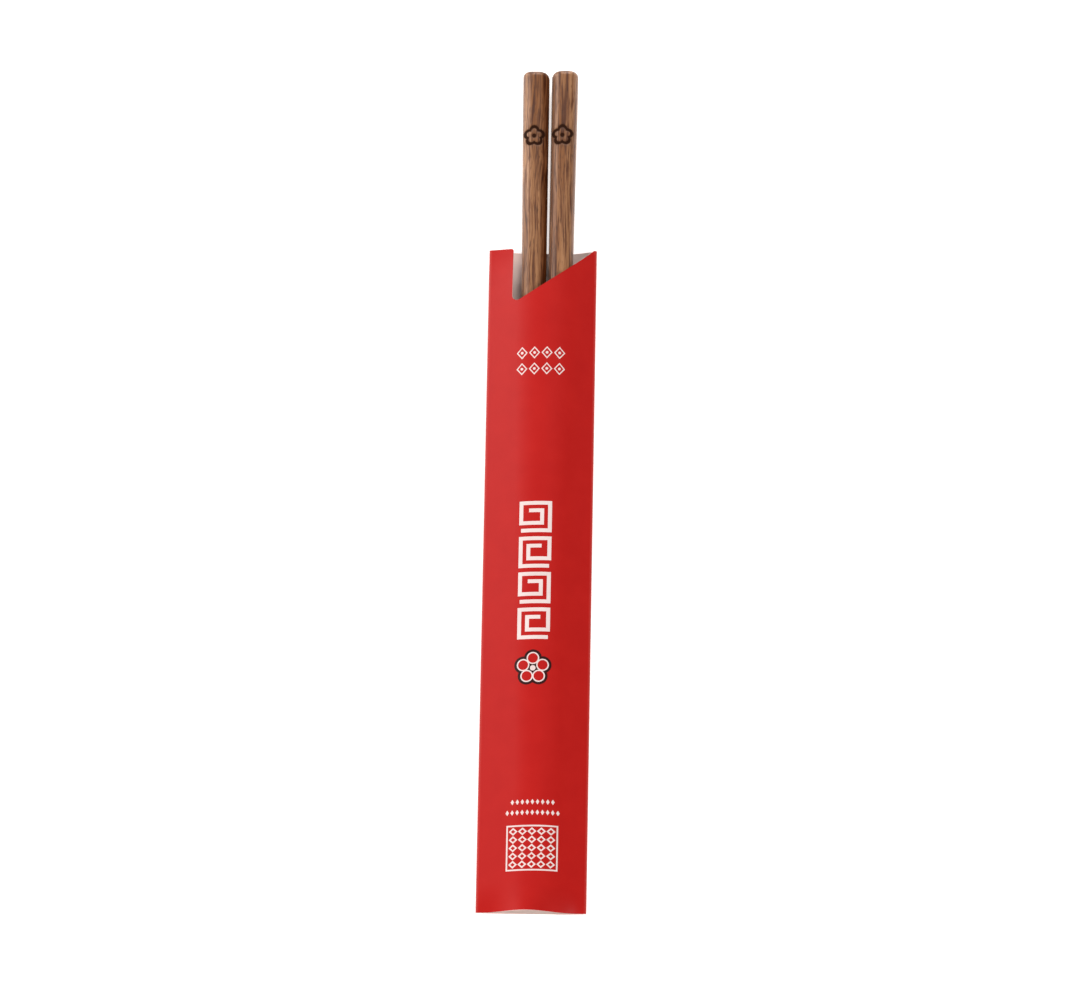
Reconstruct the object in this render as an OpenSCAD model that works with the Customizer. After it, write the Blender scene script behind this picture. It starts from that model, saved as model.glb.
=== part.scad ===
// Pair of wooden chopsticks served in an open-ended paper sleeve, lying on its back.
// X runs across the sleeve, Y along the sticks towards their heads, Z up from the table.

/* [Chopsticks] */
// Length of each chopstick
stick_l = 230; // [200:1:260]
// Width across the rounded square of the head
head_w = 7.4; // [6:0.1:8.5]
// Corner radius of the head's rounded square
head_corner_r = 3.1; // [1:0.1:3.5]
// Diameter of the nearly round tip
tip_d = 5.2; // [4:0.1:6]
// Rounding over of the tip's end
tip_round = 1.2; // [0.4:0.1:1.6]
// Rounding of the left head's end on its outer side
left_outer_round = 1.3; // [0.5:0.1:2.5]
// Rounding of the left head's end on the side that faces the other stick
left_inner_round = 1.8; // [0.5:0.1:2.5]
// Rounding of the right head's end on its outer side
right_outer_round = 1.6; // [0.5:0.1:2.5]
// Rounding of the right head's end on the side that faces the other stick
right_inner_round = 1.8; // [0.5:0.1:2.5]
// Rounding of both heads' ends on the upper and lower sides
head_top_round = 1.5; // [0.5:0.1:2.5]
// Gap between the two heads
head_gap = 0.7; // [0.2:0.05:1.5]
// Gap between the two tips
tip_gap = 0.2; // [0.1:0.05:1]
// How far the right stick lies ahead of the left one
right_lead = 0.3; // [0.1:0.1:3]
// How far the pair lies to the right of the sleeve's middle
pair_shift = 1.3; // [0:0.1:2]

/* [Sleeve] */
// Width of the sleeve from fold to fold
sleeve_w = 30; // [28:0.5:36]
// Length of the sleeve
sleeve_l = 187; // [160:1:200]
// Distance from the sleeve's lower edge up to the left tip
tail_gap = 8.6; // [5:0.1:15]
// Thickness of the paper
paper_t = 0.3; // [0.2:0.05:0.5]
// Width of the glued overlap along the back
seam_lap = 10; // [6:0.5:12]
// Height of the side folds above the table at the mouth
mouth_fold_rise = 3; // [2:0.1:3.5]
// Height of the side folds above the table at the lower edge
tail_fold_rise = 1.2; // [1:0.1:3]
// How far out the stiff paper starts to arch over the pair, as a multiple of where it meets the shoulders
arch_ease = 1.45; // [1:0.05:1.5]
// How far the lower edge of the front is pressed into a bell, from none to full
tail_pinch = 0.9; // [0:0.05:1]
// How far the bell's middle lies to the left of the sleeve's middle
bell_shift = 1.1; // [0:0.1:2]
// Half-width of the bell at its foot
bell_half = 12.6; // [10:0.1:13]

/* [Mouth] */
// Width of the tab left standing beside the mouth
tab_w = 6.9; // [4:0.1:9]
// Depth of the slanted mouth cut, measured to its sharp corner
mouth_depth = 16.8; // [8:0.1:24]
// How far the slanted edge of the mouth cut sags below a straight line
mouth_sag = 0.9; // [0:0.05:2]
// Radius at the bottom of the mouth cut
mouth_r = 1.4; // [0.5:0.1:2.5]
// Radius of the tab's free corner
tab_r = 0.6; // [0.2:0.1:1.5]
// How far the free tab sinks from the front's slope at its top, from none to flat
tab_sink = 0.45; // [0:0.05:0.8]

/* [Hidden] */

wood_colour = "#7d5238";
paper_colour = "#c22c28";

// Clearances: stick to the paper under it, stick to the paper round it, mouth cut to the fold
seat_clear = 0.05;
paper_clear = 0.4;
corner_land = 0.5;

// Flat left on each side of the tip, inside radius of a fold, width of the seam's step
tip_flat = 0.2;
fold_r = 0.1;
step_w = 0.04;

// Facets: points on a stick's corner, rings on its body and its rounded ends
corner_n = 8;
body_n = 12;
end_n = 6;
// Facets: points across the front, each side of the back and each fold, and along the slanted mouth edge
front_n = 28;
back_n = 8;
fold_n = 5;
edge_n = 8;
// Facets: rings on the tail, the middle and the mouth of the sleeve
tail_n = 4;
tube_n = 9;
mouth_n = 4;
// Circle facets
$fn = 48;

// Lengths are measured from the sleeve's lower edge, and the whole is centred at the end
overall_l = tail_gap + stick_l + right_lead;
seat_z = 2 * paper_t + seat_clear;
fold_x = sleeve_w / 2 - paper_t - fold_r;
seam_left = pair_shift - seam_lap / 2;
seam_right = pair_shift + seam_lap / 2;
tab_x = tab_w - sleeve_w / 2;
mouth_y = sleeve_l - mouth_depth;

function mix(a, b, t) = a + (b - a) * t;

// Size of a stick at a share s of its length from the tip
tip_corner_r = (tip_d - tip_flat) / 2;
function stick_w(s) = mix(tip_d, head_w, s);
function stick_corner(s) = min(mix(tip_corner_r, head_corner_r, s), (stick_w(s) - tip_flat) / 2);
function stick_gap(s) = mix(tip_gap, head_gap, s);
function pair_half(s) = stick_gap(s) / 2 + stick_w(s);
function stick_share(y) = min(1, max(0, (y - tail_gap) / stick_l));

// How much a rounded edge of radius r has drawn in at a distance d from the end
function drawn_in(d, r) = d >= r ? 0 : r - sqrt(r * r - (r - d) * (r - d));

// Corner points of a rounded rectangle in XZ, anticlockwise as seen along Y
function rounded_box(x0, x1, y, z0, z1, r) =
    let (q = [[x1 - r, z1 - r, 0], [x0 + r, z1 - r, 90], [x0 + r, z0 + r, 180], [x1 - r, z0 + r, 270]])
    [for (c = q, k = [0:corner_n])
        let (a = c[2] + 90 * k / corner_n)
        [c[0] + r * cos(a), y, c[1] + r * sin(a)]];

// Ring of one stick at share s, drawn in by its left, right and upper and lower sides
function stick_ring(side, s, y, in_left, in_right, in_z) =
    let (
        w = stick_w(s),
        near = stick_gap(s) / 2,
        x0 = pair_shift + (side > 0 ? near : -near - w),
        r = max(tip_flat, stick_corner(s) - max(in_left, in_right, in_z))
    )
    rounded_box(x0 + in_left, x0 + w - in_right, y, seat_z + in_z, seat_z + w - in_z, r);

// Rings of one stick from tip to head: the rounded tip, the straight taper, the rounded head
function stick_rings(side, y0, left_round, right_round) =
    let (head_round = max(left_round, right_round, head_top_round))
    concat(
        [for (k = [0:end_n])
            let (d = tip_round * (1 - cos(90 * k / end_n)), i = drawn_in(d, tip_round))
            stick_ring(side, d / stick_l, y0 + d, i, i, i)],
        [for (k = [1:body_n - 1])
            let (d = mix(tip_round, stick_l - head_round, k / body_n))
            stick_ring(side, d / stick_l, y0 + d, 0, 0, 0)],
        [for (k = [end_n:-1:0])
            let (d = head_round * (1 - cos(90 * k / end_n)))
            stick_ring(side, 1 - d / stick_l, y0 + stick_l - d,
                drawn_in(d, left_round), drawn_in(d, right_round), drawn_in(d, head_top_round))]
    );

// Faces between neighbouring rings of n points, facing outwards or inwards
function side_faces(rings, n, first, inwards) =
    [for (j = [0:rings - 2], i = [0:n - 1])
        let (a = first + j * n + i, b = first + j * n + (i + 1) % n, c = b + n, d = a + n)
        each inwards ? [[a, c, b], [a, d, c]] : [[a, b, c], [a, c, d]]];

module loft(rings) {
    n = len(rings[0]);
    last = n * (len(rings) - 1);
    polyhedron(
        points = [for (r = rings) each r],
        faces = concat(
            side_faces(len(rings), n, 0, false),
            [[for (i = [n - 1:-1:0]) i]],
            [[for (i = [0:n - 1]) last + i]]
        )
    );
}

// Tube between outer and inner rings, open at both ends
module tube(outer, inner) {
    n = len(outer[0]);
    m = len(outer);
    far = n * (m - 1);
    within = n * m;
    rims = [for (i = [0:n - 1])
        let (a = i, b = (i + 1) % n)
        each [
            [a, within + a, within + b], [a, within + b, b],
            [far + a, far + b, within + far + b], [far + a, within + far + b, within + far + a]
        ]];
    polyhedron(
        points = concat([for (r = outer) each r], [for (r = inner) each r]),
        faces = concat(side_faces(m, n, 0, false), side_faces(m, n, within, true), rims)
    );
}

// Share of a bend done at a distance u from its start: round over a length a, then straight to span
function bend(u, a, span) =
    u <= 0 ? 0 : u < a ? u * u / (2 * a * (span - a / 2)) : (u - a / 2) / (span - a / 2);

function fold_z(y) = mix(tail_fold_rise, mouth_fold_rise, y / sleeve_l);
function reach(x) = x > pair_shift ? fold_x - pair_shift : fold_x + pair_shift;

// Slope of paper drawn straight from a fold at a distance span to the outer shoulder of a stick
function shoulder(y, span) =
    let (
        s = stick_share(y),
        r = stick_corner(s),
        dx = span - (pair_half(s) - r),
        dz = seat_z + stick_w(s) - r - fold_z(y) - fold_r
    )
    atan2(dz, dx) + asin((r + paper_clear) / norm([dx, dz]));

// Half-width of the arched crown, from the pair's middle to where the paper runs straight to the fold
function crown_half(y) =
    let (s = stick_share(y), r = stick_corner(s))
    arch_ease * (pair_half(s) - r + (r + paper_clear) * sin(shoulder(y, fold_x - abs(pair_shift))));

// Height of the crown's inside over the table, set by the steeper side
function crown_z(y) =
    let (span = fold_x - abs(pair_shift))
    fold_z(y) + fold_r + tan(shoulder(y, span)) * (span - crown_half(y) / 2);

// Inside of the front panel: straight slopes to an arched crown, pressed to a bell under the tips
function bell(x) = (1 + cos(180 * min(1, abs(x + bell_shift) / bell_half))) / 2;
function pinch(y) = y < tail_gap ? tail_pinch * pow(1 - y / tail_gap, 2) : 0;
// Beside the mouth nothing holds the tab up, so it sinks more and more above the cut's bottom
function sink(x, y) = x < tab_x + mouth_r && y > mouth_y ? tab_sink * pow((y - mouth_y) / mouth_depth, 2) : 0;
function front_z(x, y) =
    let (roof = 1 - bend(abs(x - pair_shift), crown_half(y), reach(x)))
    mix(fold_z(y) + fold_r, crown_z(y), mix(roof, bell(x), pinch(y)) * (1 - sink(x, y)));

// Inside of the back panel: flat under the sticks at a given level, then bent up to the folds
mouth_share = stick_share(sleeve_l);
back_flat = pair_half(mouth_share) - stick_corner(mouth_share) / 2;
back_bend = 3;
function back_z(x, y, level) =
    let (u = abs(x - pair_shift) - back_flat)
    mix(level, fold_z(y) - fold_r, bend(u, back_bend, reach(x) - back_flat));

// Point moved off a panel by its thickness; up is 1 for the front and -1 for the back
slope_step = 0.01;
function off_panel(x, y, z, slope, up, off) =
    let (n = norm([slope, 1]))
    [x - up * slope / n * off, y, z + up / n * off];

function front_point(x, y, off) =
    let (slope = (front_z(x + slope_step, y) - front_z(x - slope_step, y)) / (2 * slope_step))
    off_panel(x, y, front_z(x, y), slope, 1, off);

// The left half of the back laps over the right half inside, so the floor drops by one thickness
function back_point(x, y, off, drop_x) =
    let (
        level = x < drop_x ? 2 * paper_t : paper_t,
        slope = (back_z(x + slope_step, y, level) - back_z(x - slope_step, y, level)) / (2 * slope_step)
    )
    off_panel(x, y, back_z(x, y, level), slope, -1, off);

// Places across the back, closer together at the seam's two steps
back_places = concat(
    [for (k = [0:back_n]) mix(-fold_x, pair_shift - back_flat, k / back_n)],
    [seam_left - step_w / 2, seam_left + step_w / 2, seam_right - step_w / 2, seam_right + step_w / 2],
    [for (k = [0:back_n]) mix(pair_shift + back_flat, fold_x, k / back_n)]
);

// Ring of the sleeve: front from right to left, left fold, back from left to right, right fold
fold_from = 115;
fold_turn = 130;
function fold_points(x, y, off, from) =
    [for (k = [0:fold_n - 1])
        let (a = from + fold_turn * k / (fold_n - 1))
        [x + (fold_r + off) * cos(a), y, fold_z(y) + (fold_r + off) * sin(a)]];
function sleeve_ring(y, off, drop_x) = concat(
    [for (k = [0:front_n]) front_point(mix(fold_x, -fold_x, k / front_n), y, off)],
    fold_points(-fold_x, y, off, fold_from),
    [for (x = back_places) back_point(x, y, off, drop_x)],
    fold_points(fold_x, y, off, fold_from + 180)
);

sleeve_places = concat(
    [for (k = [0:tail_n - 1]) tail_gap * k / tail_n],
    [for (k = [0:tube_n - 1]) mix(tail_gap, mouth_y, k / tube_n)],
    [for (k = [0:mouth_n]) mix(mouth_y, sleeve_l, k / mouth_n)]
);

// Outline cut out of the front at the mouth: upright beside the tab, slanting up to the right fold
module mouth_outline() {
    over = 2;
    corner = [fold_x - corner_land, sleeve_l];
    slant = atan2(mouth_depth, corner.x - tab_x);
    centre = [tab_x + mouth_r, mouth_y + mouth_r * tan(slant) + mouth_r / cos(slant)];
    dip = atan2(4 * mouth_sag * cos(slant), corner.x - centre.x);
    start = centre + mouth_r * [sin(slant - dip), -cos(slant - dip)];
    downwards = [sin(slant), -cos(slant)];
    polygon(concat(
        [[tab_x, sleeve_l + over], [tab_x, centre.y]],
        [for (k = [0:edge_n])
            let (t = k / edge_n)
            mix(start, corner, t) + 4 * mouth_sag * t * (1 - t) * downwards],
        [[corner.x, sleeve_l + over]]
    ));
    translate(centre) circle(mouth_r);
    difference() {
        translate([tab_x - tab_r, sleeve_l - tab_r]) square([2 * tab_r, tab_r + over]);
        translate([tab_x - tab_r, sleeve_l - tab_r]) circle(tab_r);
    }
}

module centred() {
    translate([0, -overall_l / 2, 0]) children();
}

module left_chopstick() {
    color(wood_colour) centred() loft(stick_rings(-1, tail_gap, left_outer_round, left_inner_round));
}

module right_chopstick() {
    color(wood_colour) centred()
        loft(stick_rings(1, tail_gap + right_lead, right_inner_round, right_outer_round));
}

module paper_sleeve() {
    color(paper_colour) centred() difference() {
        tube(
            [for (y = sleeve_places) sleeve_ring(y, paper_t, seam_left)],
            [for (y = sleeve_places) sleeve_ring(y, 0, seam_right)]
        );
        translate([0, 0, mouth_fold_rise]) linear_extrude(2 * head_w) mouth_outline();
    }
}

left_chopstick();
right_chopstick();
paper_sleeve();
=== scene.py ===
# %% [markdown]
# # Chopsticks in a paper sleeve
# The real object is three things: two tapered wooden sticks, and one sheet of printed paper that was cut,
# folded at both sides and glued along its back. The exact solids of all three come from the frame. They
# give the sizes and the places, and this lesson makes finer meshes of the same form and gives them their
# finish. The work runs as it would on a bench: set up the camera and the light, shape the sticks, then
# print, cut and fold the paper round them.

# %% Load the frame
import math
import bpy
from mathutils import Matrix, Vector, noise
from mathutils.geometry import delaunay_2d_cdt


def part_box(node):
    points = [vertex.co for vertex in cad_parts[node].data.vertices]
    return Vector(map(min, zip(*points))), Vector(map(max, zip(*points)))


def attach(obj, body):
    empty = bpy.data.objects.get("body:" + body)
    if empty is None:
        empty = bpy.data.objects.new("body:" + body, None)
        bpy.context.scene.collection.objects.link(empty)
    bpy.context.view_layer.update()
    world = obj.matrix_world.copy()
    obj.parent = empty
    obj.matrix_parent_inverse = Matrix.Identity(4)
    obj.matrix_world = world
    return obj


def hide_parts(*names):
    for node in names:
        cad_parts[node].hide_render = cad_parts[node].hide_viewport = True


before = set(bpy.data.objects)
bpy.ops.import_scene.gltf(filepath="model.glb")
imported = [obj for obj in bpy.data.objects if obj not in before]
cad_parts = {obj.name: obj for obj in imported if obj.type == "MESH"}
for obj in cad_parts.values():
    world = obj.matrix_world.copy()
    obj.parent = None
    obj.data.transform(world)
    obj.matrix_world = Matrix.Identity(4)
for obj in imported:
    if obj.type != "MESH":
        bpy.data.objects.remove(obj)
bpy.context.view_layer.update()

print("solids in the frame:", sorted(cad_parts))

# %% [markdown]
# ## Sizes
# Blender works in metres, and paper and sticks are easier to think of in millimetres. So every size here
# is in millimetres, and the mesh helper below scales it once. Whatever the boxes of the solids can tell is
# read from them. The rest, such as a corner radius or a gap, is named where it is first needed, with the
# same value as in the solids. Heights are counted from the table, and lengths from the sleeve's lower
# edge.

# %% Sizes in millimetres
mm = 0.001
sleeve_low, sleeve_high = [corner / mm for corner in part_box("paper_sleeve")]
left_low, left_high = [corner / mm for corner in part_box("left_chopstick")]
right_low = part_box("right_chopstick")[0] / mm

lower_edge = Vector((0, sleeve_low.y, 0))
sleeve_w = sleeve_high.x - sleeve_low.x
sleeve_l = sleeve_high.y - sleeve_low.y
stick_l = left_high.y - left_low.y
seat_z = left_low.z
left_tip_y = left_low.y - sleeve_low.y
right_tip_y = right_low.y - sleeve_low.y
print(f"sleeve {sleeve_w:.1f} x {sleeve_l:.1f} mm, sticks {stick_l:.1f} mm, left tip at {left_tip_y:.1f} mm")

# %% [markdown]
# ## Three small helpers
# A colour is written as the hex value that a paint program shows, which is sRGB. Shaders count in linear
# light, so one function converts it. A second function adds one shader node, sets its options and links or
# sets its inputs, so that a material reads as a list of nodes. Where a node has several inputs of one
# name, the number is used: 1 and 2 are the range that Map Range reads and 3 and 4 the one that it gives,
# while Mix takes two plain values at 2 and 3 and two colours at 6 and 7. A third function makes a mesh
# object from points in millimetres.

# %% Helpers
def linear(hex_colour):
    """Linear RGBA of an sRGB hex colour such as "#b01a16"."""
    channels = [int(hex_colour[i:i + 2], 16) / 255 for i in (1, 3, 5)]
    return [c / 12.92 if c <= 0.04045 else ((c + 0.055) / 1.055) ** 2.4 for c in channels] + [1.0]


def add(tree, kind, inputs=None, **options):
    """A new shader node; each input, by name or number, is a socket to link from or a value to set."""
    made = tree.nodes.new("ShaderNode" + kind)
    for name, value in options.items():
        setattr(made, name, value)
    for key, value in (inputs or {}).items():
        if isinstance(value, bpy.types.NodeSocket):
            tree.links.new(value, made.inputs[key])
        else:
            made.inputs[key].default_value = value
    return made


def add_mesh(name, points, faces, materials):
    """A smooth mesh object from points in millimetres, linked to the scene."""
    mesh = bpy.data.meshes.new(name)
    mesh.from_pydata([Vector(p) * mm for p in points], [], faces)
    for material in materials:
        mesh.materials.append(material)
    mesh.polygons.foreach_set("use_smooth", [True] * len(mesh.polygons))
    piece = bpy.data.objects.new(name, mesh)
    bpy.context.scene.collection.objects.link(piece)
    return piece


print("linear value of mid grey:", round(linear("#808080")[0], 3))

# %% [markdown]
# ## The floor
# The object lies on a plain pale surface. A sheet of matt white board does this in a studio. Here it glows
# a little, as on a light table, so that the ground stays white right up to the object and shows bright
# between the sticks. It reaches far past the picture, so that no edge shows from any side, and it lies a
# hair under the paper so that the two surfaces never share a place.

# %% Floor
floor_half = 6000
floor_z = -0.03
board_speck = 2

board = bpy.data.materials.new("matt white board")
board.use_nodes = True
tree = board.node_tree
place = add(tree, "TexCoord").outputs["Object"]
speck = add(tree, "TexNoise", {"Vector": place, "Scale": 1 / (board_speck * mm), "Detail": 2.0})
tint = add(tree, "ValToRGB", {"Fac": speck.outputs["Fac"]})
tint.color_ramp.elements[0].color = linear("#f1f0ee")
tint.color_ramp.elements[1].color = linear("#f6f5f4")
shader = tree.nodes["Principled BSDF"]
shader.inputs["Roughness"].default_value = 0.9
shader.inputs["Specular IOR Level"].default_value = 0.1
shader.inputs["Emission Strength"].default_value = 0.65
tree.links.new(tint.outputs["Color"], shader.inputs["Base Color"])
tree.links.new(tint.outputs["Color"], shader.inputs["Emission Color"])

corners = [(x * floor_half, y * floor_half, floor_z) for x, y in ((-1, -1), (1, -1), (1, 1), (-1, 1))]
floor = add_mesh("floor", corners, [(0, 1, 2, 3)], [board])
print("floor", 2 * floor_half * mm, "m across")

# %% [markdown]
# ## The camera
# The picture looks almost straight down on the object, leaning a little towards its lower end, with very
# weak perspective, as a long lens gives from far away. A few numbers set that: the lean, a small step to
# the right, the distance, and the focal length in pixels of a picture 1085 pixels wide. A slight roll
# makes the object lean as it does in the picture. The camera's axes are built one by one, so that nothing
# is left to guess.

# %% Camera
image_w = 1085
sensor_w = 36
focal_px = 5440
distance = 1500
lean = math.radians(15.2)
side_step = math.radians(2.2)
roll = math.radians(1.08)
target = Vector((0.97, -2.3, 0))

back_x = math.sin(side_step) * math.cos(lean)
back_z = math.cos(side_step) * math.cos(lean)
backward = Vector((back_x, -math.sin(lean), back_z))
rightward = Vector((0, 1, 0)).cross(backward).normalized()
upward = backward.cross(rightward)
axes = Matrix((rightward, upward, backward)).transposed().to_4x4() @ Matrix.Rotation(roll, 4, "Z")
lens = bpy.data.cameras.new("camera")
lens.sensor_width = sensor_w
lens.lens = focal_px * sensor_w / image_w
camera = bpy.data.objects.new("camera", lens)
bpy.context.scene.collection.objects.link(camera)
camera.matrix_world = Matrix.Translation((target + backward * distance) * mm) @ axes
bpy.context.scene.camera = camera
print(f"lens {lens.lens:.0f} mm at {distance} mm")

# %% [markdown]
# ## The light
# The paper is brighter and paler on its left slope than on its right, so one soft box stands on the left,
# where that slope mirrors it up into the camera. Most of the light is even, and comes from two boxes
# before and behind the object, whose mirror images the camera doesn't see. So the red stays deep on the
# right slope. The two are about equal, so that neither throws a shadow strong enough to show. Both are
# narrow and nearly in line with the sticks, so that the rear one also lights the mouth beside them.

# %% Light
def soft_box(name, at, size, watts):
    """An oblong area light that looks at the object's middle."""
    light = bpy.data.lights.new(name, "AREA")
    light.shape = "RECTANGLE"
    light.size = size[0] * mm
    light.size_y = size[1] * mm
    light.energy = watts
    made = bpy.data.objects.new(name, light)
    bpy.context.scene.collection.objects.link(made)
    made.location = Vector(at) * mm
    made.rotation_euler = (-made.location).to_track_quat("-Z", "Y").to_euler()
    made.visible_camera = False


soft_box("left soft box", at=(-1000, 700, 560), size=(700, 600), watts=11.6)
soft_box("front soft box", at=(60, -1300, 1000), size=(800, 700), watts=21.5)
soft_box("rear soft box", at=(250, 1400, 860), size=(600, 600), watts=20.5)
room = bpy.data.worlds.new("pale room")
room.use_nodes = True
room.node_tree.nodes["Background"].inputs["Color"].default_value = linear("#f4f4f6")
room.node_tree.nodes["Background"].inputs["Strength"].default_value = 0.05
bpy.context.scene.world = room
bpy.context.scene.view_settings.view_transform = "Standard"
print("three soft boxes and a dim pale room")

# %% [markdown]
# ## Oiled walnut
# The sticks are a brown open-pored hardwood like walnut, sawn along the grain, sanded and oiled. The eye
# sees three things in it: broad bands of lighter and darker growth, fine fibres that run the length of the
# stick, and short dark pores. All three are one kind of noise, drawn out along the stick by dividing the
# place by a width across and a length along. A slow sideways wander keeps them from running dead straight.
# Real pores are about 0.1 mm wide, less than a pixel here, so they are drawn 0.2 mm wide to show.

# %% Oiled walnut
def grain(tree, place, width, length, detail):
    """Noise drawn out along the stick, in streaks of a width and a length in millimetres."""
    scale = (1 / (width * mm), 1 / (length * mm), 1 / (width * mm))
    stretched = add(tree, "Mapping", {"Vector": place, "Scale": scale})
    return add(tree, "TexNoise", {"Vector": stretched.outputs["Vector"], "Scale": 1.0, "Detail": detail})


wander_width = 2.4
walnut = bpy.data.materials.new("oiled walnut")
walnut.use_nodes = True
tree = walnut.node_tree
place = add(tree, "TexCoord").outputs["Object"]
drift = grain(tree, place, width=6, length=22, detail=1.5)
centred = add(tree, "VectorMath", {0: drift.outputs["Color"], 1: (0.5, 0.5, 0.5)}, operation="SUBTRACT")
across = (wander_width * mm, 0, wander_width * mm)
shift = add(tree, "VectorMath", {0: centred.outputs["Vector"], 1: across}, operation="MULTIPLY")
moved = add(tree, "VectorMath", {0: place, 1: shift.outputs["Vector"]}, operation="ADD")
wandering = moved.outputs["Vector"]
bands = grain(tree, wandering, width=2.2, length=60, detail=2.0)
fibres = grain(tree, wandering, width=0.5, length=14, detail=3.0)
pores = grain(tree, wandering, width=0.2, length=3.2, detail=1.0)

growth = add(tree, "ValToRGB", {"Fac": bands.outputs["Fac"]})
growth.color_ramp.elements[0].position = 0.36
growth.color_ramp.elements[0].color = linear("#7c4a24")
growth.color_ramp.elements[1].position = 0.64
growth.color_ramp.elements[1].color = linear("#ab7a53")
streak = add(tree, "ValToRGB", {"Fac": fibres.outputs["Fac"]})
streak.color_ramp.elements[0].position = 0.38
streak.color_ramp.elements[0].color = linear("#98795f")
streak.color_ramp.elements[1].position = 0.57
streak.color_ramp.elements[1].color = linear("#ffffff")
fleck = add(tree, "ValToRGB", {"Fac": pores.outputs["Fac"]})
fleck.color_ramp.elements[0].position = 0.3
fleck.color_ramp.elements[0].color = linear("#8c7768")
fleck.color_ramp.elements[1].position = 0.42
fleck.color_ramp.elements[1].color = linear("#ffffff")
print("walnut patterns:", len(tree.nodes), "nodes so far")

# %% [markdown]
# The three patterns are multiplied, which is what thin dark layers do to the colour under them. The mark
# near the head is burnt in with a hot stamp, so it is darker, duller and a little sunk. How much each
# point is burnt is a value stored on the mesh, which the stick's own step writes. A second stored value
# marks the end grain of the heads, which drinks the oil, and paints shade along each stick's right side,
# deepest where the left stick faces the other one. Where either value is high the colour is darker and
# the wood hardly shines. Elsewhere oil leaves a satin gloss: IOR 1.5 as for most finishes, a roughness
# that the fibres vary, and a warm tint. Sanding also raises a fine nap of fibres. It shows as a pale rim
# where a side turns away, and the shader's sheen is made for that.

# %% Walnut finish
pore_depth = 0.04
fibred = add(tree, "Mix", {"Factor": 1.0, 6: growth.outputs["Color"], 7: streak.outputs["Color"]},
             data_type="RGBA", blend_type="MULTIPLY")
flecked = add(tree, "Mix", {"Factor": 0.8, 6: fibred.outputs[2], 7: fleck.outputs["Color"]},
              data_type="RGBA", blend_type="MULTIPLY")
burn = add(tree, "Attribute", attribute_name="burn").outputs["Fac"]
# the second stored value: painted shade on the sticks' right sides, and the darker end grain of the heads
painted_shade_and_end_grain = add(tree, "Attribute", attribute_name="painted_shade_and_end_grain").outputs["Fac"]
darkened_for_shade_and_end_grain = add(tree, "Mix", {"Factor": painted_shade_and_end_grain, 6: flecked.outputs[2], 7: linear("#c4aea2")},
              data_type="RGBA", blend_type="MULTIPLY")
scorched = add(tree, "Mix", {"Factor": burn, 6: darkened_for_shade_and_end_grain.outputs[2], 7: linear("#2a1206")}, data_type="RGBA")
satin = add(tree, "MapRange", {"Value": fibres.outputs["Fac"], 1: 0.3, 2: 0.7, 3: 0.52, 4: 0.42})
dulled = add(tree, "Mix", {"Factor": burn, 2: satin.outputs["Result"], 3: 0.75})
# burn, the painted shade and the end grain all take away the oil's shine and nap
burn_shade_and_end_grain = add(tree, "Math", {0: burn, 1: painted_shade_and_end_grain}, operation="MAXIMUM")
polish = add(tree, "MapRange", {"Value": burn_shade_and_end_grain.outputs["Value"], 3: 0.8, 4: 0.1})
nap = add(tree, "MapRange", {"Value": burn_shade_and_end_grain.outputs["Value"], 3: 0.6, 4: 0.0})
ridges = add(tree, "Math", {0: fibres.outputs["Fac"], 1: fleck.outputs["Color"]}, operation="ADD")
relief = add(tree, "Bump", {"Strength": 0.6, "Distance": pore_depth * mm, "Height": ridges.outputs["Value"]})
shader = tree.nodes["Principled BSDF"]
shader.inputs["IOR"].default_value = 1.5
shader.inputs["Specular Tint"].default_value = linear("#ffe8da")
shader.inputs["Sheen Roughness"].default_value = 0.35
shader.inputs["Sheen Tint"].default_value = linear("#ecd8cb")
tree.links.new(scorched.outputs[2], shader.inputs["Base Color"])
tree.links.new(dulled.outputs[0], shader.inputs["Roughness"])
tree.links.new(polish.outputs["Result"], shader.inputs["Specular IOR Level"])
tree.links.new(nap.outputs["Result"], shader.inputs["Sheen Weight"])
tree.links.new(relief.outputs["Normal"], shader.inputs["Normal"])
print("walnut:", len(tree.nodes), "nodes")

# %% [markdown]
# ## The sticks' form
# Each stick is a square with rounded corners at the head and nearly a circle at the tip, and tapers evenly
# between. It is planed and sanded, and lies on its flat underside. That is a loft: one outline, drawn
# again and again along the length with a slowly changing width and corner. These functions give the
# outline's sizes at any share of the way from tip to head. The sleeve needs them too, because the sticks
# shape it.

# %% Sizes along a stick
head_w = 7.4
head_corner_r = 3.1
tip_d = 5.2
tip_flat = 0.2
tip_round = 1.2
head_gap = 0.7
tip_gap = 0.2
pair_shift = 1.3


def mix(a, b, t):
    return a + (b - a) * t


def stick_w(share):
    return mix(tip_d, head_w, share)


def stick_corner(share):
    return mix((tip_d - tip_flat) / 2, head_corner_r, share)


def stick_gap(share):
    return mix(tip_gap, head_gap, share)


print(f"halfway up, a stick is {stick_w(0.5):.2f} mm wide with corners of {stick_corner(0.5):.2f} mm")

# %% [markdown]
# ## The burnt mark
# Hot-stamped marks on such sticks are small outlines, here a plain five-petalled blossom. One formula
# gives its edge: a circle whose radius swells five times on the way round. Near that edge and in the
# middle the wood is black. Round it the soot ends within a fraction of a millimetre, and a brown halo
# fades out more slowly. The hot stamp also presses the wood in by a tenth of a millimetre, so the mesh is
# dense there and the mark is real relief. It landed a little left of the middle.

# %% Blossom mark
mark_r = 2.65
mark_from_head = 19.3
mark_left = 0.3
mark_stroke = 0.78
mark_depth = 0.12
mark_dot_r = 0.55
petals = 5
petal_swell = 0.28
halo_width = 0.45
halo_share = 0.25
soot_width = halo_width / 4


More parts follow.
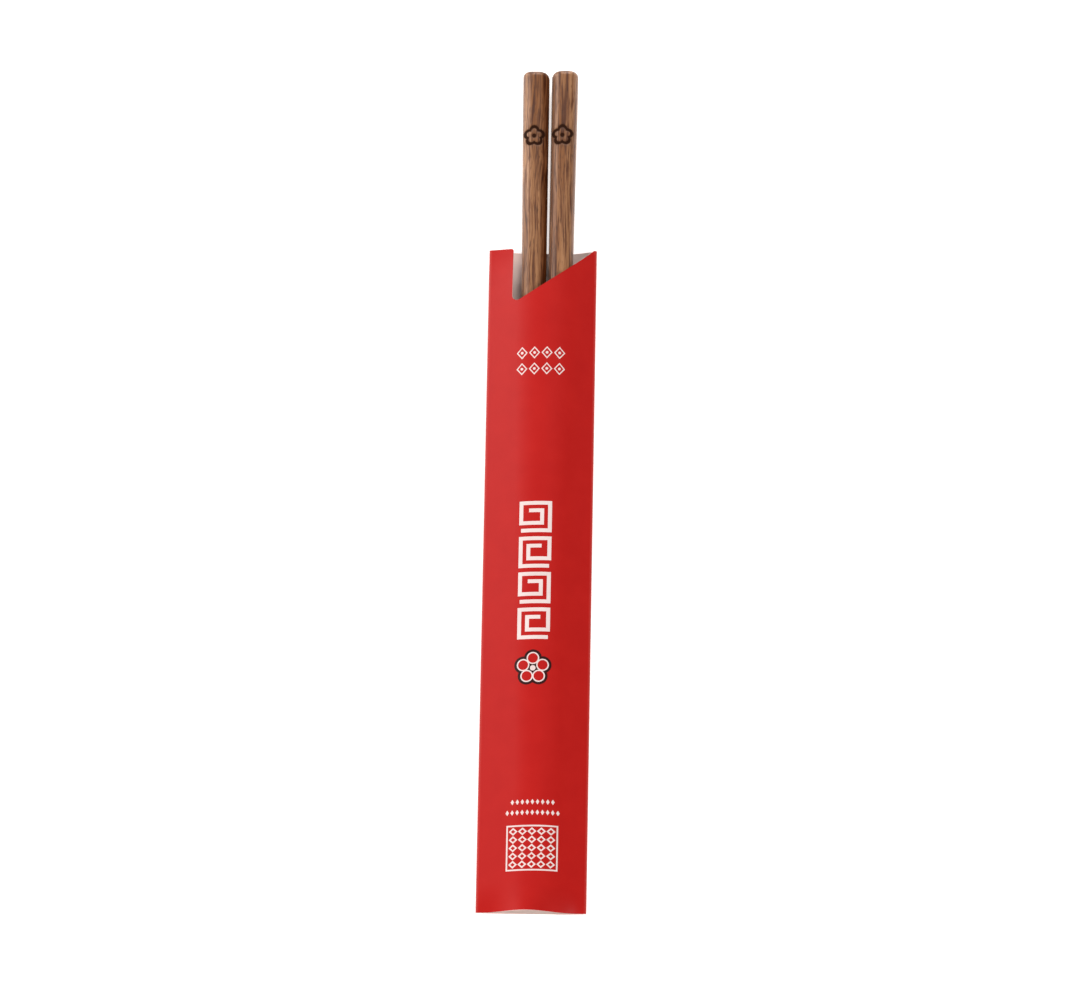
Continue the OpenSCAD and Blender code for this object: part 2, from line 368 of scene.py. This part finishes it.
def burnt(dx, dy):
    """How much the wood is burnt at a distance from the mark's middle, from 0 to 1."""
    radius = math.hypot(dx, dy)
    petal = mark_r * (1 - petal_swell + petal_swell * abs(math.cos(petals / 2 * math.atan2(dx, dy))))
    beyond = min(abs(radius - petal) - mark_stroke / 2, radius - mark_dot_r)
    if beyond <= 0:
        return 1.0
    return mix(math.exp(-beyond / soot_width), math.exp(-beyond / halo_width), halo_share)


print(f"burnt at the petal's edge {burnt(0, mark_r):.2f}, 1 mm outside it {burnt(0, mark_r + 1):.2f}")

# %% [markdown]
# ## Shaping a stick
# The rounded square is drawn once with many points on its corners, then walked at even steps, so that
# every ring has the same number of well-spaced points and the rings join into clean four-sided faces. At
# each end the sides draw in along a quarter circle. The head's sides have slightly different rounding, as
# hand sanding leaves them, and the corner radius wavers a little along the stick, which makes the
# highlight live. Each stick's right side is darkened as painted shade: strongly on the left stick, where
# it faces the other stick, and faintly on the right one. Both heads end in end grain, which is darker.

# %% Rings of a stick
ring_points = 144
corner_steps = 20


def evenly(outline, count):
    """count points at even distances round a closed outline of 2-D points."""
    closed = outline + outline[:1]
    steps = [math.dist(a, b) for a, b in zip(closed, closed[1:])]
    pitch = sum(steps) / count
    made = []
    index = 0
    passed = 0
    for k in range(count):
        while passed + steps[index] < k * pitch:
            passed += steps[index]
            index += 1
        t = (k * pitch - passed) / steps[index]
        made.append([mix(a, b, t) for a, b in zip(closed[index], closed[index + 1])])
    return made


def rounded_square(x0, x1, z0, z1, r):
    """Evenly spaced points round a square with round corners, from the middle of its top, leftwards."""
    outline = [((x0 + x1) / 2, z1)]
    centres = ((x0 + r, z1 - r, 90), (x0 + r, z0 + r, 180), (x1 - r, z0 + r, 270), (x1 - r, z1 - r, 0))
    for x, z, start in centres:
        for k in range(corner_steps + 1):
            angle = math.radians(start + 90 * k / corner_steps)
            outline.append((x + r * math.cos(angle), z + r * math.sin(angle)))
    return evenly(outline, ring_points)


def drawn_in(from_end, r):
    """How far a side rounded by r has drawn in at a distance from the stick's end."""
    return 0 if from_end >= r else r - math.sqrt(r * r - (r - from_end) ** 2)


print("points on a ring:", len(rounded_square(0, head_w, 0, head_w, head_corner_r)))

# %% Both sticks
head_top_round = 1.5
end_rings = 14
body_step = 2
mark_step = 0.12
corner_waver = 0.1
waver_length = 16
# where the painted shade along a stick's right side begins, as a share of the width, and how wide it eases
# in
side_shade_from = 0.54
side_shade_blend = 0.4
end_grain = 0.5
mark_reach = mark_r + 1
least_burn = 0.01
sharp_end = math.radians(50)


def stations(head_round):
    """Places of the rings from the tip: close at the ends and at the mark, wide between."""
    mark_low = stick_l - mark_from_head - mark_reach
    mark_high = mark_low + 2 * mark_reach
    quarter = [1 - math.cos(math.pi / 2 * k / end_rings) for k in range(end_rings + 1)]
    stops = [(tip_round, mark_low, body_step), (mark_low, mark_high, mark_step),
             (mark_high, stick_l - head_round, body_step)]
    made = [tip_round * q for q in quarter[:-1]]
    for start, end, step in stops:
        count = math.ceil((end - start) / step)
        made += [mix(start, end, k / count) for k in range(count)]
    return made + [stick_l - head_round * q for q in reversed(quarter)]


def make_stick(name, side, tip_y, left_round, right_round, painted_shade_and_end_grain):
    """One stick, with the mark pressed into its upper side; side is -1 for the left one."""
    head_round = max(left_round, right_round, head_top_round)
    points = []
    burns = []
    shade_and_end_grain_values = []
    for y in stations(head_round):
        share = y / stick_l
        width = stick_w(share)
        low_x = pair_shift + (stick_gap(share) / 2 if side > 0 else -stick_gap(share) / 2 - width)
        tip_in = drawn_in(y, tip_round)
        left_in = tip_in + drawn_in(stick_l - y, left_round)
        right_in = tip_in + drawn_in(stick_l - y, right_round)
        top_in = drawn_in(stick_l - y, head_top_round)
        z_in = tip_in + top_in
        open_end = end_grain * top_in / head_top_round
        own_noise = (side * 5.3, y / waver_length, 0.7)  # a place in the noise for each stick
        waver = corner_waver * share * noise.noise(own_noise)
        corner = max(tip_flat, stick_corner(share) + waver - max(left_in, right_in, z_in))
        top = seat_z + width - z_in
        ring = rounded_square(low_x + left_in, low_x + width - right_in, seat_z + z_in, top, corner)
        for x, z in ring:
            on_top = z > seat_z + width / 2
            dx = x - low_x - width / 2 + mark_left
            dark = burnt(dx, y - stick_l + mark_from_head) if on_top else 0
            burns.append(dark if dark > least_burn else 0)
            # painted shade rising across the stick towards its right side; the head's end grain sets the
            # value too
            t = min(1, max(0, ((x - low_x) / width - side_shade_from) / side_shade_blend))
            shade_and_end_grain_values.append(max(painted_shade_and_end_grain * t * t * (3 - 2 * t), open_end))  # t eased in and out
            points.append(lower_edge + Vector((x, tip_y + y, z - mark_depth * burns[-1])))
    rows = len(points) // ring_points
    faces = [list(range(ring_points)), list(range(len(points) - 1, len(points) - ring_points - 1, -1))]
    for j in range(rows - 1):
        for i in range(ring_points):
            a = j * ring_points + i
            b = j * ring_points + (i + 1) % ring_points
            faces.append((a, a + ring_points, b + ring_points, b))
    stick = add_mesh(name, points, faces, [walnut])
    stick.data.attributes.new("burn", "FLOAT", "POINT").data.foreach_set("value", burns)
    stick.data.attributes.new("painted_shade_and_end_grain", "FLOAT", "POINT").data.foreach_set("value", shade_and_end_grain_values)
    stick.data.set_sharp_from_angle(angle=sharp_end)
    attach(stick, "root")
    return stick


# the last argument is the strength of the painted shade on the right side: full on the left stick, faint on
# the right
left_stick = make_stick("left_stick", -1, left_tip_y, left_round=1.3, right_round=1.8, painted_shade_and_end_grain=1.0)
right_stick = make_stick("right_stick", 1, right_tip_y, left_round=1.8, right_round=1.6, painted_shade_and_end_grain=0.2)
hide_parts("left_chopstick")
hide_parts("right_chopstick")
print("faces on a stick:", len(left_stick.data.polygons))

# %% [markdown]
# ## Printed paper
# The sleeve is stout white paper, printed solid red on one side, with a satin varnish. Its design is the
# white of the paper left bare, with a little dark ink. So one sheet has five surfaces: the red and the
# dark print, bare white in the design, the uncoated inside, and the cut edge. The last two are a pinkish
# white, because the red shows through, and the inside is also darkened to a greyish pink as painted shade
# for the shade inside the sleeve. All share one recipe with other colours: a cloudy change of shade as
# thick ink has, and fine fibres that roughen the surface. Fibres are about 0.03 mm thick, far under a
# pixel, so they are drawn 0.25 mm wide. Paper under varnish has an IOR of about 1.45.

# %% Paper
cloud_size = 6
fibre_size = 0.25
fibre_depth = 0.012
gloss_change = 0.04


def make_paper(name, deep, pale, roughness, worn):
    """Paper whose shade drifts between two colours, and rubs to a third along the folds."""
    paper = bpy.data.materials.new(name)
    paper.use_nodes = True
    tree = paper.node_tree
    place = add(tree, "TexCoord").outputs["Object"]
    cloud = add(tree, "TexNoise", {"Vector": place, "Scale": 1 / (cloud_size * mm), "Detail": 4.0})
    fibre = add(tree, "TexNoise", {"Vector": place, "Scale": 1 / (fibre_size * mm), "Detail": 2.0})
    shade = add(tree, "MapRange", {"Value": cloud.outputs["Fac"], 1: 0.3, 2: 0.7})
    colour = add(tree, "Mix", {"Factor": shade.outputs["Result"], 6: linear(deep), 7: linear(pale)},
                 data_type="RGBA")
    fold = add(tree, "Attribute", attribute_name="fold").outputs["Fac"]
    rubbed = add(tree, "MapRange", {"Value": fibre.outputs["Fac"], 1: 0.25, 2: 0.55})
    wear = add(tree, "Math", {0: fold, 1: rubbed.outputs["Result"]}, operation="MULTIPLY")
    final = add(tree, "Mix", {"Factor": wear.outputs["Value"], 6: colour.outputs[2], 7: linear(worn)},
                data_type="RGBA")
    gloss = add(tree, "MapRange", {"Value": fibre.outputs["Fac"], 1: 0.3, 2: 0.7,
                                   3: roughness - gloss_change, 4: roughness + gloss_change})
    bump = add(tree, "Bump", {"Strength": 0.5, "Distance": fibre_depth * mm, "Height": fibre.outputs["Fac"]})
    shader = tree.nodes["Principled BSDF"]
    shader.inputs["IOR"].default_value = 1.45
    shader.inputs["Specular IOR Level"].default_value = 0.3
    tree.links.new(final.outputs[2], shader.inputs["Base Color"])
    tree.links.new(gloss.outputs["Result"], shader.inputs["Roughness"])
    tree.links.new(bump.outputs["Normal"], shader.inputs["Normal"])
    return paper


red_print = make_paper("varnished red print", "#b7120d", "#bc1610", roughness=0.5, worn="#eeb5ab")
bare_design = make_paper("varnished bare white", "#e8d2cd", "#efddd9", roughness=0.5, worn="#f2ece7")
dark_print = make_paper("varnished dark print", "#2c0907", "#380d0a", roughness=0.5, worn="#8a4a42")
# the inside's colours are pink from the red showing through and darker still as painted shade
shaded_inside_face = make_paper("uncoated inside with painted shade", "#dcc5bc", "#e4d0c8", roughness=0.85, worn="#efe8e2")
cut_edge = make_paper("cut paper edge", "#e9c9c1", "#f1dcd6", roughness=0.85, worn="#f1e4df")
print("paper surfaces: red and dark print, bare design, inside and cut edge")

# %% [markdown]
# ## How the sleeve lies
# The paper rises straight from each fold and arches over the pair. It is stout, so it doesn't bend sharply
# at the sticks' shoulders: the arch begins well outside them. At the lower end, past the tips, it is
# pressed to a soft bell. The tab beside the mouth is held only at its foot, so it sinks a little. Under
# the sticks the back is flat, then bends up to the folds. These functions give the height of the paper's
# inner face across and along the sleeve.

# %% Inner face of the sleeve
paper_t = 0.3
fold_r = 0.1
paper_clear = 0.4
arch_ease = 1.45
mouth_fold_rise = 3
tail_fold_rise = 1.2
tail_pinch = 0.9
bell_shift = 1.1
bell_half = 12.6
tab_w = 6.9
tab_sink = 0.45
mouth_depth = 16.8
mouth_r = 1.4
back_bend = 3
fold_x = sleeve_w / 2 - paper_t - fold_r
tab_x = tab_w - sleeve_w / 2
mouth_y = sleeve_l - mouth_depth


def bend(u, a, span):
    """Share of a bend done at u: round over a length a, then straight to span."""
    if u <= 0:
        return 0
    return u * u / (2 * a * (span - a / 2)) if u < a else (u - a / 2) / (span - a / 2)


def fold_z(y):
    return mix(tail_fold_rise, mouth_fold_rise, y / sleeve_l)


def share_at(y):
    return min(1, max(0, (y - left_tip_y) / stick_l))


def pair_half(y):
    return stick_gap(share_at(y)) / 2 + stick_w(share_at(y))


def reach(x):
    return fold_x - pair_shift if x > pair_shift else fold_x + pair_shift


def crown(y):
    """Half-width and height of the arch over the pair; stiff paper arches wider than the shoulders."""
    corner = stick_corner(share_at(y))
    span = fold_x - pair_shift
    dx = span - (pair_half(y) - corner)
    dz = seat_z + stick_w(share_at(y)) - corner - fold_z(y) - fold_r
    slope = math.atan2(dz, dx) + math.asin((corner + paper_clear) / math.hypot(dx, dz))
    half = arch_ease * (pair_half(y) - corner + (corner + paper_clear) * math.sin(slope))
    return half, fold_z(y) + fold_r + math.tan(slope) * (span - half / 2)


def front_inside(x, y):
    half, height = crown(y)
    roof = 1 - bend(abs(x - pair_shift), half, reach(x))
    bell = (1 + math.cos(math.pi * min(1, abs(x + bell_shift) / bell_half))) / 2
    pinch = tail_pinch * (1 - y / left_tip_y) ** 2 if y < left_tip_y else 0
    free = x < tab_x + mouth_r and y > mouth_y
    sink = tab_sink * ((y - mouth_y) / mouth_depth) ** 2 if free else 0
    return mix(fold_z(y) + fold_r, height, mix(roof, bell, pinch) * (1 - sink))


def back_inside(x, y, level):
    flat = pair_half(sleeve_l) - stick_corner(share_at(sleeve_l)) / 2
    bent = bend(abs(x - pair_shift) - flat, back_bend, reach(x) - flat)
    return mix(level, fold_z(y) - fold_r, bent)


print(f"arch {crown(sleeve_l)[1]:.1f} mm high at the mouth and {crown(0)[1]:.1f} mm at the lower end")

# %% [markdown]
# ## From flat sheet to folded sleeve
# A real sleeve starts as one flat cut sheet, and so does this one. A place on the sheet is (u, y): u runs
# across it, 0 at the middle of the front. Walking outwards in u, the sheet is first the front, then turns
# round a fold on a small arc, then comes back under the front as half of the back. The left half of the
# back lies inside, and the right half is glued over it. So a drawing made flat, such as the print and the
# mouth's cut, is folded with the sheet and needs no fitting. The hand-folded paper also waves by a few
# hundredths of a millimetre.

# %% Fold a place on the sheet
fold_turn = math.radians(130)
fold_arc = (fold_r + paper_t) * fold_turn
seam_lap = 10
wave_height = 0.05
wave_across = 8
wave_along = 24
slope_step = 0.01


def outer_face(x, y, inside, up):
    """The outer face's point over a place on the inner one: a paper's thickness along its normal."""
    slope = (inside(x + slope_step, y) - inside(x - slope_step, y)) / (2 * slope_step)
    off = paper_t / math.hypot(slope, 1)
    return Vector((x - up * slope * off, y, inside(x, y) + up * off))


def folded(u, y):
    """Where a place on the flat sheet comes to lie when the sleeve is folded."""
    side = 1 if u > 0 else -1
    past = abs(u) - fold_x
    if past <= 0:
        point = outer_face(u, y, front_inside, 1)
        ripple = noise.noise((u / wave_across, y / wave_along, 0.3))
        point.z += wave_height * (1 - (u / fold_x) ** 2) * ripple
        return point
    if past <= fold_arc:
        angle = fold_turn * (0.5 - past / fold_arc)
        out = (fold_r + paper_t) * math.cos(angle)
        return Vector((side * (fold_x + out), y, fold_z(y) + (fold_r + paper_t) * math.sin(angle)))
    level = paper_t if side > 0 else 2 * paper_t
    return outer_face(side * (fold_x - (past - fold_arc)), y, lambda x, y: back_inside(x, y, level), -1)


sheet_left = -(2 * fold_x + fold_arc + pair_shift + seam_lap / 2)
sheet_right = 2 * fold_x + fold_arc - pair_shift + seam_lap / 2
print(f"flat sheet {sheet_right - sheet_left:.1f} x {sleeve_l:.1f} mm")

# %% [markdown]
# ## The print
# The design is plain ornament in the paper's white: two rows of lozenges near the mouth, a column of
# squared spirals, a blossom edged in dark ink, two rows of small lozenges and a lattice near the lower
# end. Each shape is an outline in millimetres on the flat front, with its ink. They are laid down in
# order, as stencils would be, and a later one covers an earlier one. So a frame is a white square with a
# red one on top.

# %% Shapes for the print
def box(x, y, w, h):
    return [(x - w / 2, y - h / 2), (x + w / 2, y - h / 2), (x + w / 2, y + h / 2), (x - w / 2, y + h / 2)]


def lozenge(x, y, w, h):
    return [(x - w / 2, y), (x, y - h / 2), (x + w / 2, y), (x, y + h / 2)]


def disc(x, y, r, count=28):
    turns = [math.tau * k / count for k in range(count)]
    return [(x + r * math.cos(turn), y + r * math.sin(turn)) for turn in turns]


def spiral(x, y, size, stroke, hand):
    """A squared spiral of one stroke, wound inwards; hand is 1 or -1."""
    h = (size - stroke) / 2
    p = 2 * stroke
    path = [(h, -h), (-h, -h), (-h, h), (h, h), (h, p - h), (p - h, p - h), (p - h, h - p), (h - p, h - p)]
    ends = [path[0]] + path + [path[-1]]
    near = []
    far = []
    for before, here, after in zip(ends, path, ends[2:]):
        turn = Vector((0, 0))
        for start, end in ((before, here), (here, after)):
            step = Vector(end) - Vector(start)
            if step.length > 0:
                turn += Vector((-step.y, step.x)).normalized() * stroke / 2
        near.append(Vector(here) + turn)
        far.append(Vector(here) - turn)
    points = [(x + hand * q.x, y + q.y) for q in near + far[::-1]]
    return points[::-hand]  # every outline runs anticlockwise, with its inside on the left


print("points round a spiral:", len(spiral(0, 0, size=9, stroke=1, hand=1)))

# %% The printed design
# each ink's place in the sheet's list of materials, where its inside and its cut edge follow it
red = 0
white = 3
dark = 6

print_x = 0.1
crest_y = 153.7
crest_pitch = (3.4, 4.6)
crest_lozenge = (3.0, 3.5)
crest_hole = (2.2, 2.6)
crest_dot_r = 0.38
column_x = -0.5
spiral_size = 8.8
spiral_stroke = 1.05
spiral_pitch = 10
spiral_low_y = 79.2
spiral_count = 4
blossom_y = 66.7
blossom_dark_r = 1.6
blossom_dot_r = 0.75
petal_at = 2.75
petal_layers = ((2.4, dark), (1.7, white), (1.35, red))
small_lozenge = (0.95, 1.5)
small_pitch = 1.35
small_rows = ((29.6, 9), (26.7, 11))
lattice_size = (13.8, 12.5)
lattice_y = 17
lattice_frame = 0.42
lattice_pitch = (2.52, 2.26)
lattice_lozenge = (2.4, 2.14)
lattice_hole = (1.25, 1.1)

design = []
for i in (-1.5, -0.5, 0.5, 1.5):
    for j in (-0.5, 0.5):
        x = print_x + crest_pitch[0] * i
        y = crest_y + crest_pitch[1] * j
        design.append((lozenge(x, y, *crest_lozenge), white))
        design.append((lozenge(x, y, *crest_hole), red))
        design.append((disc(x, y, crest_dot_r), white))
for k in range(spiral_count):
    y = spiral_low_y + spiral_pitch * k
    design.append((spiral(column_x, y, spiral_size, spiral_stroke, 1 - k % 2 * 2), white))
design.append((disc(column_x, blossom_y, blossom_dark_r), dark))
for radius, ink in petal_layers:
    for k in range(petals):
        angle = math.tau * k / petals
        x = column_x + petal_at * math.sin(angle)
        design.append((disc(x, blossom_y + petal_at * math.cos(angle), radius), ink))
design.append((disc(column_x, blossom_y, blossom_dot_r), white))
for y, count in small_rows:
    for k in range(count):
        x = print_x + small_pitch * (k - (count - 1) / 2)
        design.append((lozenge(x, y, *small_lozenge), white))
for inset, ink in ((0, white), (lattice_frame, red)):
    design.append((box(print_x, lattice_y, lattice_size[0] - 2 * inset, lattice_size[1] - 2 * inset), ink))
for i in range(-2, 3):
    for j in range(-2, 3):
        x = print_x + lattice_pitch[0] * i
        y = lattice_y + lattice_pitch[1] * j
        design.append((lozenge(x, y, *lattice_lozenge), white))
        design.append((lozenge(x, y, *lattice_hole), red))
print("printed outlines:", len(design))

# %% [markdown]
# ## Cutting the sheet
# The sheet's outline is a rectangle with the mouth cut out of the front: straight down beside a tab, round
# the bottom, and slanting up to the right fold. A constrained triangulation is the digital die: it takes
# the outline, the print's outlines and a grid of extra points, so that the sheet can bend, and returns
# triangles that keep every outline as an edge. It also says which outlines each triangle lies in. Long
# printed edges get extra points, or they would cut straight through the arch instead of bending with it.

# %% Outline of the sheet
mouth_sag = 0.9
tab_r = 0.6
corner_land = 0.5
arc_steps = 12
fold_steps = 8
slant_steps = 50
front_step = 0.5
back_step = 1.6
row_step = 1.5
tail_step = 0.5
corner_clear = 0.1


def spread(start, end, step):
    """Evenly spaced values from start to end, about a step apart, both ends included."""
    count = math.ceil(abs(end - start) / step)
    return [mix(start, end, k / count) for k in range(count + 1)]


def close_points(shape):
    """A shape's outline with extra points on its long edges, so that it bends with the paper."""
    made = []
    for a, b in zip(shape, shape[1:] + shape[:1]):
        count = math.ceil(math.dist(a, b) / front_step)
        made += [Vector(a).lerp(Vector(b), k / count) for k in range(count)]
    return made


columns = spread(sheet_left, -fold_x - fold_arc, back_step)[:-1]
columns += spread(-fold_x - fold_arc, -fold_x, fold_arc / fold_steps)[:-1]
columns += spread(-fold_x, fold_x, front_step)[:-1]
columns += spread(fold_x, fold_x + fold_arc, fold_arc / fold_steps)[:-1]
columns += spread(fold_x + fold_arc, sheet_right, back_step)
rows = spread(0, left_tip_y, tail_step)[:-1] + spread(left_tip_y, sleeve_l, row_step)

corner = Vector((fold_x - corner_land, sleeve_l))
slant = math.atan2(mouth_depth, corner.x - tab_x)
centre = Vector((tab_x + mouth_r, mouth_y + mouth_r * math.tan(slant) + mouth_r / math.cos(slant)))
dip = math.atan2(4 * mouth_sag * math.cos(slant), corner.x - centre.x)
foot = centre + mouth_r * Vector((math.sin(slant - dip), -math.cos(slant - dip)))
downwards = Vector((math.sin(slant), -math.cos(slant)))

mouth = []
for t in spread(1, 0, 1 / slant_steps):
    mouth.append(foot.lerp(corner, t) + 4 * mouth_sag * t * (1 - t) * downwards)
for angle in spread(slant - dip - math.pi / 2, -math.pi, math.pi / 2 / arc_steps)[1:]:
    mouth.append(centre + mouth_r * Vector((math.cos(angle), math.sin(angle))))
mouth += [Vector((tab_x, y)) for y in spread(centre.y, sleeve_l - tab_r, front_step)[1:-1]]
for angle in spread(0, math.pi / 2, math.pi / 2 / arc_steps):
    mouth.append(Vector((tab_x, sleeve_l)) + tab_r * Vector((math.cos(angle) - 1, math.sin(angle) - 1)))

outline = [Vector((u, 0)) for u in columns]
outline += [Vector((sheet_right, y)) for y in rows[1:]]
outline += [Vector((u, sleeve_l)) for u in reversed(columns[:-1]) if u > corner.x + corner_clear]
outline += mouth
outline += [Vector((u, sleeve_l)) for u in reversed(columns) if u < tab_x - tab_r - corner_clear]
outline += [Vector((sheet_left, y)) for y in reversed(rows[1:-1])]
print("points on the outline:", len(outline), "of them round the mouth:", len(mouth))

# %% Triangles of the sheet
clear_of_cut = 0.25
same_place = 1e-5


def in_mouth(p):
    """Whether a place is in the mouth, counting the cut edges that lie to its right."""
    crossings = 0
    for a, b in zip(mouth, mouth[1:] + mouth[:1]):
        if (a.y > p.y) != (b.y > p.y):
            crossings += p.x < mix(a.x, b.x, (p.y - a.y) / (b.y - a.y))
    return crossings % 2 == 1


def on_sheet(p):
    """Whether a grid point lies on the sheet, clear of the mouth's cut."""
    if p.y < mouth_y or p.x < tab_x - 1 or p.x > corner.x + 1:
        return True
    return not in_mouth(p) and min((p - q).length for q in mouth) > clear_of_cut


sheet_points = list(outline)
loops = [list(range(len(outline)))]
for shape, _ in design:
    fine = close_points(shape)
    loops.append(list(range(len(sheet_points), len(sheet_points) + len(fine))))
    sheet_points += fine
grid = [Vector((u, y)) for u in columns[1:-1] for y in rows[1:-1]]
sheet_points += [p for p in grid if on_sheet(p)]
flat, _, triangles, _, _, within = delaunay_2d_cdt(sheet_points, [], loops, 1, same_place, True)
inks = [red] + [ink for _, ink in design]
kept = [(tri, inks[max(inside)]) for tri, inside in zip(triangles, within) if 0 in inside]
print("triangles in the flat sheet:", len(kept))

# %% [markdown]
# ## Folding it
# Every point goes through the fold, and the surface gets its thickness inwards with Solidify. Its material
# offsets give the inside and the cut edge their own surfaces. The sheet is made a hair thinner than the
# step between its glued layers, so that their faces never share a place. A value on each point says how
# near it is to a fold's ridge, where the print rubs and cracks to a pale line.

# %% The folded sleeve
glue_gap = 0.01
ridge_half = 0.5
sharp_edge = math.radians(45)

points = [lower_edge + folded(p.x, p.y) for p in flat]
sheet = add_mesh("sleeve_sheet", points, [tri for tri, _ in kept],
                 [red_print, shaded_inside_face, cut_edge, bare_design, shaded_inside_face, cut_edge,
                  dark_print, shaded_inside_face, cut_edge])
sheet.data.polygons.foreach_set("material_index", [ink for _, ink in kept])
ridge = [max(0, 1 - abs(abs(p.x) - fold_x - fold_arc / 2) / ridge_half) for p in flat]
sheet.data.attributes.new("fold", "FLOAT", "POINT").data.foreach_set("value", ridge)
thicken = sheet.modifiers.new("paper thickness", "SOLIDIFY")
thicken.thickness = (paper_t - glue_gap) * mm
thicken.offset = -1
thicken.material_offset = 1
thicken.material_offset_rim = 2
solid = bpy.data.meshes.new_from_object(sheet.evaluated_get(bpy.context.evaluated_depsgraph_get()))
sheet.modifiers.clear()
sheet.data = solid
solid.set_sharp_from_angle(angle=sharp_edge)
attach(sheet, "root")
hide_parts("paper_sleeve")
print("faces in the sleeve:", len(solid.polygons))
